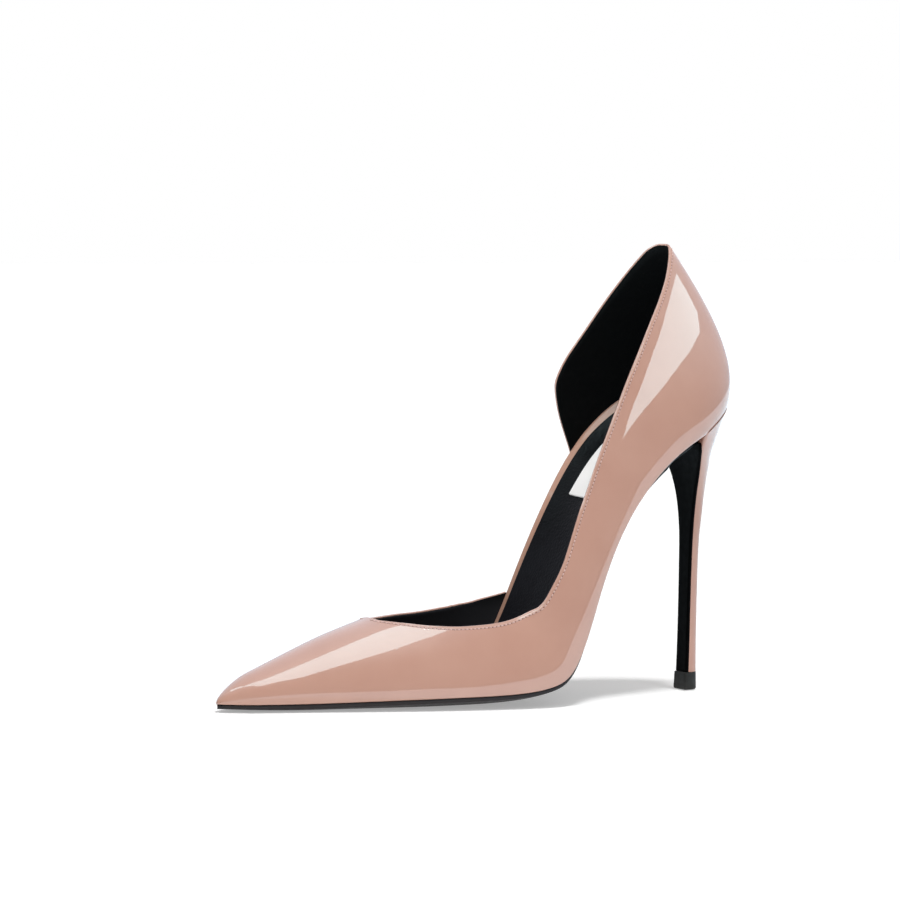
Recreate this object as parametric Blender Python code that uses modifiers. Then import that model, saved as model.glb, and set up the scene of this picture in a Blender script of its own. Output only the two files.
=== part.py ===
"""Left pointed-toe stiletto pump with a closed outer side and an inner side cut open at the arch.

The toe points along -X and the outer side of the foot faces -Y. The shoe stands on its forefoot and heel tip.
Shapes are worked out in millimetres in the last's own frame (toe tip at x = 0) and placed in metres.
"""

import math

import bmesh
import bpy
import numpy as np

MM = 0.001
OUTER, INNER = -1, 1

# Driving dimensions of the last, in millimetres.
SEAT_LENGTH = 216.5      # toe tip to the back of the heel seat, along the floor
HEEL_HEIGHT = 106.0      # floor to the feather edge at the back of the seat
BALL_HALF = 36.0         # half of the tread width at the ball
CONE_HEIGHT = 70.6       # longest side wall: the back of the heel, from feather edge to collar
TOE_ROUND = 14.0         # length over which the pointed nose is rounded
HEEL_ROUND = 46.0        # length over which the heel seat is rounded in plan

# Thicknesses and clearances of the pieces, in millimetres.
GAP = 0.3
WALL = 1.4
SOCK_THICKNESS = 0.8
SOCK_INSET = 2.7
PAD_THICKNESS = 0.5
PAD_INSET = 12.0
BREAST_COVER = 1.1
TIP_LENGTH = 6.6         # height of the top lift
TIP_HALF_WIDTH = 3.8

# Sections of the last, toe to heel. along is a share of SEAT_LENGTH, level of HEEL_HEIGHT,
# outer and inner of BALL_HALF, cone of CONE_HEIGHT; lean is in degrees towards the toe, open goes from
# 0, a section that closes over the foot, to 1, an open wall. The rest is in millimetres: how far the wall
# swells, the back bulges, the bottom dips at its middle and the inner arch lifts, how thick the insole
# board is and how far its rim is cupped, how thick the outsole is and how far it is set in.
LAST_COLUMNS = (
    "along", "level", "outer", "inner", "cone", "lean", "open", "swell", "back", "crown", "arch", "board",
    "cup", "sole", "bevel",
)
LAST_ROWS = (
    (0.000, 0.027, 0.130, 0.130, 0.080, 0.0, 0.00, 1.2, 0.0, 0.6, 0.0, 1.8, 0.0, 0.9, 0.3),
    (0.125, 0.028, 0.360, 0.350, 0.233, 0.0, 0.00, 1.35, 0.0, 1.2, 0.0, 2.0, 0.0, 1.5, 0.5),
    (0.231, 0.034, 0.565, 0.545, 0.345, 1.0, 0.00, 0.75, 0.0, 2.1, 0.0, 2.2, 0.0, 1.4, 0.3),
    (0.333, 0.041, 0.757, 0.728, 0.430, 2.0, 0.00, 0.55, 0.0, 3.1, 0.0, 2.2, 0.0, 1.3, 0.3),
    (0.434, 0.047, 0.905, 0.878, 0.548, 4.0, 0.00, 0.15, 0.0, 3.6, 0.0, 2.2, 0.0, 1.3, 0.3),
    (0.517, 0.055, 0.985, 0.965, 0.642, 10.0, 0.00, 0.1, 0.0, 3.7, 0.0, 2.2, 0.0, 1.3, 0.3),
    (0.580, 0.076, 1.000, 0.965, 0.710, 20.0, 0.00, 0.4, 0.0, 3.4, 0.0, 2.2, 0.0, 1.2, 0.6),
    (0.624, 0.137, 0.970, 0.910, 0.750, 35.0, 0.00, 1.3, 0.0, 2.9, 0.3, 2.0, 0.0, 1.0, 2.2),
    (0.651, 0.240, 0.940, 0.860, 0.771, 45.0, 0.05, 1.75, 0.0, 2.8, 0.8, 1.9, 0.0, 1.0, 3.4),
    (0.684, 0.401, 0.880, 0.780, 0.786, 52.0, 0.12, 2.4, 0.0, 2.8, 1.6, 2.4, 0.0, 1.0, 4.8),
    (0.730, 0.585, 0.800, 0.690, 0.800, 50.0, 0.30, 1.75, 0.0, 3.0, 2.6, 4.5, 0.0, 1.0, 6.0),
    (0.790, 0.750, 0.740, 0.690, 0.857, 45.0, 0.60, 1.1, 0.0, 3.6, 3.6, 6.6, 0.3, 1.0, 6.0),
    (0.864, 0.877, 0.710, 0.710, 0.914, 38.0, 0.80, 1.8, 0.8, 3.8, 3.8, 8.6, 3.5, 1.1, 3.4),
    (0.938, 0.946, 0.700, 0.700, 0.971, 29.0, 0.85, 3.2, 6.8, 2.6, 1.6, 10.0, 12.0, 1.2, 1.6),
    (1.000, 0.994, 0.680, 0.680, 1.000, 17.0, 0.85, 3.0, 13.6, 0.0, 0.0, 9.5, 9.0, 1.2, 1.6),
)

# Top edges of the upper: pairs of a section of the last and a height, 0 at the feather edge, 1 at the ridge.
THROAT = 0.305
OUTER_TOPLINE = (
    (0.305, 1.000), (0.307, 0.890), (0.315, 0.820), (0.340, 0.695), (0.380, 0.565), (0.435, 0.467),
    (0.515, 0.410), (0.580, 0.396), (0.605, 0.382), (0.650, 0.298), (0.685, 0.260), (0.730, 0.288),
    (0.800, 0.390), (0.938, 0.757), (0.970, 0.862), (1.000, 1.000),
)
INNER_VAMP_TOPLINE = (
    (0.305, 1.000), (0.307, 0.890), (0.315, 0.803), (0.330, 0.710), (0.355, 0.630), (0.405, 0.526),
    (0.475, 0.431), (0.580, 0.349), (0.605, 0.325), (0.625, 0.277), (0.650, 0.155), (0.672, 0.012),
)
INNER_QUARTER_TOPLINE = (
    (0.800, 0.012), (0.810, 0.065), (0.834, 0.352), (0.845, 0.458), (0.860, 0.522), (0.900, 0.657),
    (0.945, 0.833), (0.978, 0.963), (0.988, 0.999), (0.995, 1.010), (1.000, 1.000),
)
THROAT_ROUND = 0.017     # ways past the throat and past the quarter's front corner with closer sections
CORNER_ROUND = 0.07

# Sections of the heel with its breast cover, from under the seat to the top lift, in millimetres.
HEEL_COLUMNS = ("front_x", "front_z", "back_x", "back_z", "half")
HEEL_ROWS = (
    (202.8, 94.0, 217.9, 101.5, 14.6),
    (204.5, 88.6, 216.0, 94.5, 11.4),
    (205.6, 83.2, 215.2, 87.5, 8.9),
    (206.3, 75.0, 214.3, 77.0, 6.2),
    (206.6, 65.0, 213.5, 66.0, 4.5),
    (206.6, 55.0, 212.7, 55.3, 3.8),
    (206.5, 37.0, 212.5, 37.0, 3.5),
    (206.4, 19.0, 212.5, 19.0, 3.5),
    (206.2, TIP_LENGTH + GAP, 212.7, TIP_LENGTH + GAP, 3.6),
)
FLAP_TOP_HALF = 15.6     # half width of the breast cover where it meets the outsole
BREAST_HOLLOW = 0.8      # how far the breast curves back at its middle, at the top
SOLE_END = 0.9355        # section of the last where the outsole ends at the heel breast
PAD_START = 0.762        # section of the last where the heel pad starts
BOARD_START = 0.035      # sections of the last where the insole board and the sock start
SOCK_START = 0.055
FOLLOW = 0.8             # how much of the wall's flare the pieces inside follow


class Curve:
    """Natural cubic spline through rows of knots and values, smooth in slope and in curvature."""

    def __init__(self, knots, values):
        self.knots = np.array(knots, dtype=float)
        self.values = np.array(values, dtype=float)
        step = np.diff(self.knots)
        slope = np.diff(self.values) / step
        matrix = np.eye(len(self.knots))
        right = np.zeros(len(self.knots))
        for i in range(1, len(step)):
            matrix[i, i - 1:i + 2] = step[i - 1], 2 * (step[i - 1] + step[i]), step[i]
            right[i] = 6 * (slope[i] - slope[i - 1])
        self.bends = np.linalg.solve(matrix, right)

    def __call__(self, at):
        at = np.asarray(at, dtype=float)
        i = np.clip(np.searchsorted(self.knots, at) - 1, 0, len(self.knots) - 2)
        step = self.knots[i + 1] - self.knots[i]
        left = (self.knots[i + 1] - at) / step
        right = 1 - left
        curved = (left ** 3 - left) * self.bends[i] + (right ** 3 - right) * self.bends[i + 1]
        return left * self.values[i] + right * self.values[i + 1] + curved * step ** 2 / 6


def past_throat(u):
    """Square root of the way past the throat, over which a top edge leaves the throat in a round."""
    return np.sqrt(np.maximum(np.asarray(u, dtype=float) - THROAT, 0))


class Edge:
    """Curve through rows that keeps between its rows, for top edges that turn sharply."""

    def __init__(self, rows):
        along, self.values = np.array(rows, dtype=float).T
        self.knots = past_throat(along)
        step = np.diff(self.knots)
        slope = np.diff(self.values) / step
        inside = np.zeros(len(self.knots))
        same_way = slope[:-1] * slope[1:] > 0
        mean = 2 * slope[:-1] * slope[1:] / np.where(same_way, slope[:-1] + slope[1:], 1)
        inside[1:-1] = np.where(same_way, mean, 0)
        inside[0], inside[-1] = slope[0], slope[-1]
        self.slopes = inside

    def __call__(self, at):
        at = past_throat(at)
        i = np.clip(np.searchsorted(self.knots, at) - 1, 0, len(self.knots) - 2)
        step = self.knots[i + 1] - self.knots[i]
        t = (at - self.knots[i]) / step
        near, far = 2 * t ** 3 - 3 * t ** 2 + 1, 3 * t ** 2 - 2 * t ** 3
        leave, arrive = t ** 3 - 2 * t ** 2 + t, t ** 3 - t ** 2
        level = near * self.values[i] + far * self.values[i + 1]
        return level + step * (leave * self.slopes[i] + arrive * self.slopes[i + 1])


def table(columns, rows):
    """Curves by column name, over the first column of the rows."""
    values = np.array(rows, dtype=float).T
    return {name: Curve(values[0], column) for name, column in zip(columns, values)}


LAST = table(LAST_COLUMNS, LAST_ROWS)


def toe_rounding(u):
    short = np.clip(1 - SEAT_LENGTH * np.asarray(u, dtype=float) / TOE_ROUND, 0, 1)
    return np.sqrt(1 - short ** 2)


def heel_rounding(u):
    past = np.clip(1 - SEAT_LENGTH * (1 - np.asarray(u, dtype=float)) / HEEL_ROUND, 0, 1)
    return np.sqrt(1 - past ** 2.2)


def half_width(side, u):
    share = LAST["outer" if side == OUTER else "inner"](u)
    return BALL_HALF * share * toe_rounding(u) * heel_rounding(u)


def feather(u):
    """Height line of the outer feather edge, as x and z."""
    return SEAT_LENGTH * np.asarray(u, dtype=float), HEEL_HEIGHT * LAST["level"](u)


def upright(u):
    """Unit direction, as x and z, square to the bottom of the last."""
    x0, z0 = feather(u - 1e-4)
    x1, z1 = feather(u + 1e-4)
    length = np.hypot(x1 - x0, z1 - z0)
    return (z0 - z1) / length, (x1 - x0) / length


def flare(h):
    """How the wall swells outwards, from 0 at the feather edge over a low peak to 0 at the top."""
    return np.sin(math.pi * np.clip(h, 0, 1) ** 0.64)


def bottom_point(u, y, raised=0.0):
    """Point of the last's bottom at y; the edges curl up, the inner arch is lifted.

    A point raised above the bottom follows the flare of the wall; one below goes down square to the bottom.
    """
    u, y, raised = np.broadcast_arrays(*(np.asarray(value, dtype=float) for value in (u, y, raised)))
    wide = np.where(y < 0, half_width(OUTER, u), half_width(INNER, u))
    share = np.clip(np.abs(y) / np.maximum(wide, 1e-6), 0, 1)
    high = np.maximum(raised, 0)
    gape = LAST["open"](u)
    tall = CONE_HEIGHT * LAST["cone"](u) * (math.pi / 2 * (1 - gape) + gape)
    swell = flare(np.minimum(high / tall, 0.25))
    lean = np.radians(LAST["lean"](u))
    below = LAST["crown"](u) * (share ** 3 - 1) + np.where(y > 0, LAST["arch"](u) * share ** 2, 0)
    below = below + np.minimum(raised, 0)
    x, z = feather(u)
    to_x, to_z = upright(u)
    x = x + to_x * below - np.sin(lean) * high + FOLLOW * LAST["back"](u) * swell
    z = z + to_z * below + np.cos(lean) * high
    spread = FOLLOW * LAST["swell"](u) * swell * toe_rounding(u) * heel_rounding(u)
    return np.stack([x, y + np.sign(y) * share * spread, z], axis=-1)


def wall_point(side, u, h):
    """Point of the upper's outer surface: h is 0 at the feather edge and 1 at the ridge or the back's top."""
    u, h = np.broadcast_arrays(np.asarray(u, dtype=float), np.asarray(h, dtype=float))
    wide = half_width(side, u)
    base = bottom_point(u, side * wide)
    turn = h * math.pi / 2
    gape = LAST["open"](u)
    across = wide * (gape * (1 - 0.25 * h ** 1.5) + (1 - gape) * np.cos(turn))
    up = CONE_HEIGHT * LAST["cone"](u) * toe_rounding(u) * ((1 - gape) * np.sin(turn) + gape * h)
    swell = flare(h)
    lean = np.radians(LAST["lean"](u))
    y = side * (across + LAST["swell"](u) * swell * toe_rounding(u) * heel_rounding(u))
    x = base[..., 0] - np.sin(lean) * up + LAST["back"](u) * swell
    z = base[..., 2] + np.cos(lean) * up
    return np.stack([x, y, z], axis=-1)


# Bottom of the last laid flat: sections close together, and their distance from the toe along the bottom.
DENSE = np.concatenate([
    TOE_ROUND / SEAT_LENGTH * (1 - np.cos(np.linspace(0, math.pi / 2, 60))),
    np.linspace(TOE_ROUND / SEAT_LENGTH, 0.79, 300)[1:],
    0.79 + 0.21 * np.sin(np.linspace(0, math.pi / 2, 200))[1:],
])
LAID_FLAT = np.concatenate([[0], np.cumsum(np.hypot(*np.diff(feather(DENSE), axis=1)))])
NOSE_END, SEAT_START = TOE_ROUND / SEAT_LENGTH, 0.89


def run_of_stations(start, end, extra=()):
    """Sections from start to end, even along the bottom and closer where the nose and the heel seat turn."""
    nose = NOSE_END * (1 - np.cos(np.linspace(0, math.pi / 2, 6)))
    reach = np.interp([NOSE_END, SEAT_START], DENSE, LAID_FLAT)
    middle = np.interp(np.linspace(*reach, 36), LAID_FLAT, DENSE)
    seat = SEAT_START + (1 - SEAT_START) * np.sin(np.linspace(0, math.pi / 2, 9))
    every = np.unique(np.concatenate([nose, middle, seat, extra]).round(6))
    every = every[(every > start + 2e-3) & (every < end - 2e-3)]
    return np.concatenate([[start], every, [end]])


def finish(name, colour, roughness, metallic=0.0):
    """Principled material of one part, from a display colour with values of 0 to 255."""
    material = bpy.data.materials.new(name)
    material.use_nodes = True
    shader = material.node_tree.nodes["Principled BSDF"]
    shade = tuple(((value / 255 + 0.055) / 1.055) ** 2.4 for value in colour)
    shader.inputs["Base Color"].default_value = (*shade, 1.0)
    shader.inputs["Roughness"].default_value = roughness
    shader.inputs["Metallic"].default_value = metallic
    material.diffuse_color = (*shade, 1.0)
    material.roughness = roughness
    material.metallic = metallic
    return material


def new_part(name, material, points, faces):
    """Mesh object of one material from points in millimetres, with doubled points joined."""
    mesh = bpy.data.meshes.new(name)
    mesh.from_pydata([tuple(point * MM) for point in points], [], faces)
    build = bmesh.new()
    build.from_mesh(mesh)
    bmesh.ops.remove_doubles(build, verts=build.verts, dist=0.02 * MM)
    bmesh.ops.dissolve_degenerate(build, edges=build.edges, dist=0.005 * MM)
    bmesh.ops.recalc_face_normals(build, faces=build.faces)
    build.to_mesh(mesh)
    build.free()
    part = bpy.data.objects.new(name, mesh)
    bpy.context.collection.objects.link(part)
    mesh.materials.append(material)
    return part


def sheet_faces(first, columns, rows):
    """Quads of a grid of points that starts at index first."""
    corners = [first + c * rows + r for c in range(columns - 1) for r in range(rows - 1)]
    return [(i, i + rows, i + rows + 1, i + 1) for i in corners]


def closed_slab(lower, upper):
    """Points and faces of the closed body between two grids of the same size."""
    columns, rows = lower.shape[:2]
    count = columns * rows
    points = np.concatenate([lower.reshape(-1, 3), upper.reshape(-1, 3)])
    faces = [face[::-1] for face in sheet_faces(0, columns, rows)] + sheet_faces(count, columns, rows)
    rim = [c * rows for c in range(columns)]
    rim += [(columns - 1) * rows + r for r in range(1, rows)]
    rim += [c * rows + rows - 1 for c in range(columns - 2, -1, -1)]
    rim += [r for r in range(rows - 2, 0, -1)]
    for here, there in zip(rim, rim[1:] + rim[:1]):
        faces.append((here, there, there + count, here + count))
    return points, faces


# Upper: three runs of the last's surface that meet at the ridge and at the back seam.
def upper_run(side, stations, topline, rows):
    heights = np.where(stations <= THROAT, 1.0, Edge(topline)(np.maximum(stations, topline[0][0])))
    share = np.linspace(0, 1, rows) ** 1.5
    return wall_point(side, stations[:, None], heights[:, None] * share[None, :])


def make_upper(material):
    throat = THROAT + THROAT_ROUND * np.linspace(0, 1, 5) ** 2
    rows = 11
    outer = upper_run(OUTER, run_of_stations(0, 1, throat), OUTER_TOPLINE, rows)
    vamp = upper_run(INNER, run_of_stations(0, INNER_VAMP_TOPLINE[-1][0], throat), INNER_VAMP_TOPLINE, rows)
    corner = INNER_QUARTER_TOPLINE[0][0] + np.linspace(0, CORNER_ROUND, 8)
    quarter_stations = run_of_stations(corner[0], 1, corner)
    quarter = upper_run(INNER, quarter_stations, INNER_QUARTER_TOPLINE, rows)
    points, faces = [], []
    for run in (outer, vamp, quarter):
        faces += sheet_faces(sum(len(done) for done in points), len(run), rows)
        points.append(run.reshape(-1, 3))
    upper = new_part("upper", material, np.concatenate(points), faces)
    wall = upper.modifiers.new("wall", "SOLIDIFY")
    wall.thickness = WALL * MM
    wall.offset = -1.0
    wall.use_even_offset = True
    return upper


# Flat pieces: cut from the last's bottom laid flat, set in from its outline, and bent back onto it.
def flat_outline(side, inset):
    """Distance along the flat bottom and half width, for an outline set in from the feather edge."""
    wide = half_width(side, DENSE)
    run, spread = np.gradient(LAID_FLAT), np.gradient(wide)
    length = np.hypot(run, spread)
    along = LAID_FLAT + inset * spread / length
    inside = wide - inset * run / length
    kept = inside > 0
    order = np.argsort(along[kept])
    return along[kept][order], inside[kept][order]


def cup(u, y):
    """How far the rim of the insole is raised at y: not at all along its middle, fully along its outline."""
    wide = np.where(y < 0, half_width(OUTER, u), half_width(INNER, u))
    round_end = heel_rounding(u)
    share = (round_end * y / np.maximum(wide, 1e-6)) ** 2 + 1 - round_end ** 2
    return LAST["cup"](u) * np.clip(share, 0, 1) ** 1.3


def plate(inset, raised, cupped, start=None, end=None, rows=9):
    """Grid of points of a flat piece; raised, a function of the section, is its height above the bottom."""
    outlines = [flat_outline(OUTER, inset), flat_outline(INNER, inset)]
    reach = [max(line[0][0] for line in outlines), min(line[0][-1] for line in outlines)]
    tips = np.interp(reach, LAID_FLAT, DENSE)
    first = tips[0] if start is None else start
    last = tips[1] if end is None else end
    stations = run_of_stations(0 if start is None else start, 1 if end is None else end)
    if start is None:
        nose = stations < NOSE_END
        stations[nose] = first + stations[nose] * (NOSE_END - first) / NOSE_END
    if end is None:
        seat = stations > SEAT_START
        stations[seat] = last - (1 - stations[seat]) * (last - SEAT_START) / (1 - SEAT_START)
    distance = np.interp(stations, DENSE, LAID_FLAT)
    outer, inner = (np.interp(distance, *line) for line in outlines)
    share = np.linspace(0, 1, rows)
    y = -outer[:, None] * (1 - share) + inner[:, None] * share
    rise = cupped * cup(stations[:, None], y)
    return bottom_point(stations[:, None], y, raised(stations)[:, None] + rise)


def slab(name, material, inset, low, high, cupped=(0, 0), **cut):
    """Flat piece between two heights above the bottom of the last, kept off the floor."""
    lower = plate(inset, low, cupped[0], **cut)
    lower[..., 2] = np.maximum(lower[..., 2], 0.0)
    return new_part(name, material, *closed_slab(lower, plate(inset, high, cupped[1], **cut)))


# Heel: a stack of D-shaped rings from the seat down to the top lift.
def ring(front_x, front_z, back_x, back_z, half, hollow, count=13):
    """D-shaped loop: along the breast from inner to outer corner, then round the back."""
    across = np.linspace(1, -1, 7)
    breast = np.stack([
        front_x + hollow * (1 - across ** 2), half * across, np.full(7, front_z),
    ], axis=-1)
    turn = np.linspace(0, math.pi, count)[1:-1]
    deep = np.sin(turn)
    back = np.stack([
        front_x + (back_x - front_x) * deep, -half * np.cos(turn), front_z + (back_z - front_z) * deep,
    ], axis=-1)
    return np.concatenate([breast, back])


def seat_ring(shrink, count=13):
    """Loop under the heel seat with the same order of points, shrunk towards its middle."""
    outlines = {OUTER: flat_outline(OUTER, 0.05), INNER: flat_outline(INNER, 0.05)}
    first = np.interp(SOLE_END, DENSE, LAID_FLAT) + GAP
    finish = min(outlines[OUTER][0][-1], outlines[INNER][0][-1]) - 0.02
    turn = np.linspace(0, math.pi, count)[1:-1]
    along = np.concatenate([np.full(7, first), first + (finish - first) * np.sin(turn)])
    across = np.concatenate([np.linspace(1, -1, 7), np.where(turn < math.pi / 2, -1, 1)])
    wide = np.where(across < 0, np.interp(along, *outlines[OUTER]), np.interp(along, *outlines[INNER]))
    middle = first + 0.4 * (finish - first)
    y = shrink * across * wide
    along = middle + shrink * (along - middle)
    return bottom_point(np.interp(along, LAID_FLAT, DENSE), y, -GAP - 0.25)


def heel_sections(rows):
    """Heel table read at evenly spaced places, as one dictionary per ring."""
    at = np.linspace(0, len(HEEL_ROWS) - 1, rows)
    knots = np.arange(len(HEEL_ROWS))
    columns = {name: Curve(knots, column)(at) for name, column in zip(HEEL_COLUMNS, zip(*HEEL_ROWS))}
    hollow = BREAST_HOLLOW * np.clip((columns["half"] - 3.0) / 13.0, 0, 1)
    return [dict(zip(HEEL_COLUMNS + ("hollow",), values)) for values in zip(*columns.values(), hollow)]


def make_heel(material):
    rings = [seat_ring(shrink) for shrink in (0.35, 0.7, 1.0)]
    for section in heel_sections(17):
        behind = dict(section, front_x=section["front_x"] + BREAST_COVER + GAP)
        rings.append(ring(**behind))
    around = len(rings[0])
    points = np.concatenate(rings)
    faces = []
    for k in range(len(rings) - 1):
        for i in range(around):
            there = (i + 1) % around
            faces.append((k * around + i, k * around + there, (k + 1) * around + there, (k + 1) * around + i))
    faces.append(tuple(range(around))[::-1])
    faces.append(tuple(range((len(rings) - 1) * around, len(rings) * around)))
    return new_part("heel", material, points, faces)


def make_breast_cover(material):
    top = SOLE_END - 0.012
    across = FLAP_TOP_HALF * np.linspace(1, -1, 7)
    edge = bottom_point(top, across, -3 * GAP - LAST["sole"](top))
    edge[:, 0] = HEEL_ROWS[0][0] - 0.7 + BREAST_HOLLOW * (1 - np.linspace(1, -1, 7) ** 2)
    front = np.array([edge] + [ring(**section)[:7] for section in heel_sections(17)])
    back = front + [BREAST_COVER, 0, 0]
    return new_part("heel_breast_cover", material, *closed_slab(front, back))


def make_top_lift(material):
    foot = HEEL_ROWS[-1]
    rings = []
    for z, grow in ((TIP_LENGTH, 0.0), (0.8, 0.15), (0.25, 0.05), (0.0, -0.25)):
        rings.append(ring(foot[0] - 0.35 - grow, z, foot[2] + 0.2 + grow, z, TIP_HALF_WIDTH + grow, 0.0))
    around = len(rings[0])
    faces = [tuple(range(around)), tuple(range(3 * around, 4 * around))[::-1]]
    for k in range(3):
        for i in range(around):
            there = (i + 1) % around
            faces.append((k * around + i, k * around + there, (k + 1) * around + there, (k + 1) * around + i))
    return new_part("top_lift", material, np.concatenate(rings), faces)


# Heights of the flat pieces above the bottom of the last, as functions of the section.
def seat_level(u):
    return np.zeros_like(u)


def board_top(u):
    return LAST["board"](u)


def sock_low(u):
    return board_top(u) + GAP


def sock_high(u):
    return sock_low(u) + SOCK_THICKNESS


def pad_low(u):
    return sock_high(u) + GAP


def pad_high(u):
    return pad_low(u) + PAD_THICKNESS


def sole_high(u):
    return np.full_like(u, -GAP)


def sole_low(u):
    return sole_high(u) - LAST["sole"](u)


def build():
    for old in list(bpy.data.objects):
        bpy.data.objects.remove(old, do_unlink=True)
    nude, black = (193, 150, 133), (20, 19, 20)
    edge = WALL + 0.4 + 1.6 * np.clip((DENSE - 0.84) / 0.12, 0, 1)
    parts = [
        make_upper(finish("nude_patent_upper", nude, 0.12)),
        slab("insole", finish("nude_patent_wrap", (178, 138, 118), 0.25), edge,
             seat_level, board_top, (0, 1), start=BOARD_START),
        slab("sock_lining", finish("black_sock_leather", (38, 38, 42), 0.5), edge + SOCK_INSET,
             sock_low, sock_high, (1.08, 1.08), start=SOCK_START),
        slab("heel_pad", finish("pale_pad_leather", (245, 244, 242), 0.5), PAD_INSET,
             pad_low, pad_high, (1.16, 1.16), start=PAD_START),
        slab("outsole", finish("black_sole_leather", (50, 46, 47), 0.45), LAST["bevel"](DENSE),
             sole_low, sole_high, end=SOLE_END),
        make_heel(finish("nude_patent_heel", nude, 0.12)),
        make_breast_cover(finish("black_flap_leather", black, 0.4)),
        make_top_lift(finish("dark_rubber", (50, 50, 49), 0.6)),
    ]
    shoe = bpy.data.objects.new("shoe", None)
    bpy.context.collection.objects.link(shoe)
    corners = np.array([vertex.co for part in parts for vertex in part.data.vertices])
    middle = (corners.min(axis=0) + corners.max(axis=0)) / 2
    shoe.location = (-middle[0], -middle[1], 0.0)
    for part in parts:
        part.parent = shoe


build()
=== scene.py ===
"""Studio picture of the left stiletto pump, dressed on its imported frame.

Shapes are worked out in millimetres in the last's own frame (toe tip at x = 0) and placed in metres.
"""

import math

import bmesh
import bpy
import numpy as np
from mathutils import Matrix, Vector


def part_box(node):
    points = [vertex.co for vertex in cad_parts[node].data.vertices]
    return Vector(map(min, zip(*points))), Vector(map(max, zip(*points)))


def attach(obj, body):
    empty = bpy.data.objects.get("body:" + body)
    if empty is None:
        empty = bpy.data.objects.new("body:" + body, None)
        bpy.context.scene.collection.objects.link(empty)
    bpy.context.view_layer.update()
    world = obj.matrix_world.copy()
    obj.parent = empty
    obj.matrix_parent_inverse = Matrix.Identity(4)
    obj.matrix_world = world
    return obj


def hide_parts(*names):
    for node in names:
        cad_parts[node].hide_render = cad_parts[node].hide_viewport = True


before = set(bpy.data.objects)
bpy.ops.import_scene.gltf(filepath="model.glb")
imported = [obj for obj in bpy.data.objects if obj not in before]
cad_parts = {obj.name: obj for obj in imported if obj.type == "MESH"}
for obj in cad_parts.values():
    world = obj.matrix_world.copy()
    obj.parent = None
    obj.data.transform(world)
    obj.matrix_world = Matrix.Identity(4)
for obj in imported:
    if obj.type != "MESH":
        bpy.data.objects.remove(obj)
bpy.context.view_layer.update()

MM = 0.001
OUTER, INNER = -1, 1

# Driving dimensions of the last, in millimetres.
SEAT_LENGTH = 216.5      # toe tip to the back of the heel seat, along the floor
HEEL_HEIGHT = 106.0      # floor to the feather edge at the back of the seat
BALL_HALF = 36.0         # half of the tread width at the ball
CONE_HEIGHT = 70.6       # longest side wall: the back of the heel, from feather edge to collar
TOE_ROUND = 14.0         # length over which the pointed nose is rounded
HEEL_ROUND = 46.0        # length over which the heel seat is rounded in plan

# Thicknesses and clearances of the pieces, in millimetres.
GAP = 0.3
WALL = 1.4
SOCK_THICKNESS = 0.8
SOCK_INSET = 2.7
PAD_THICKNESS = 0.5
PAD_INSET = 12.0
BREAST_COVER = 1.1
TIP_LENGTH = 6.6         # height of the top lift
TIP_HALF_WIDTH = 3.8

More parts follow.
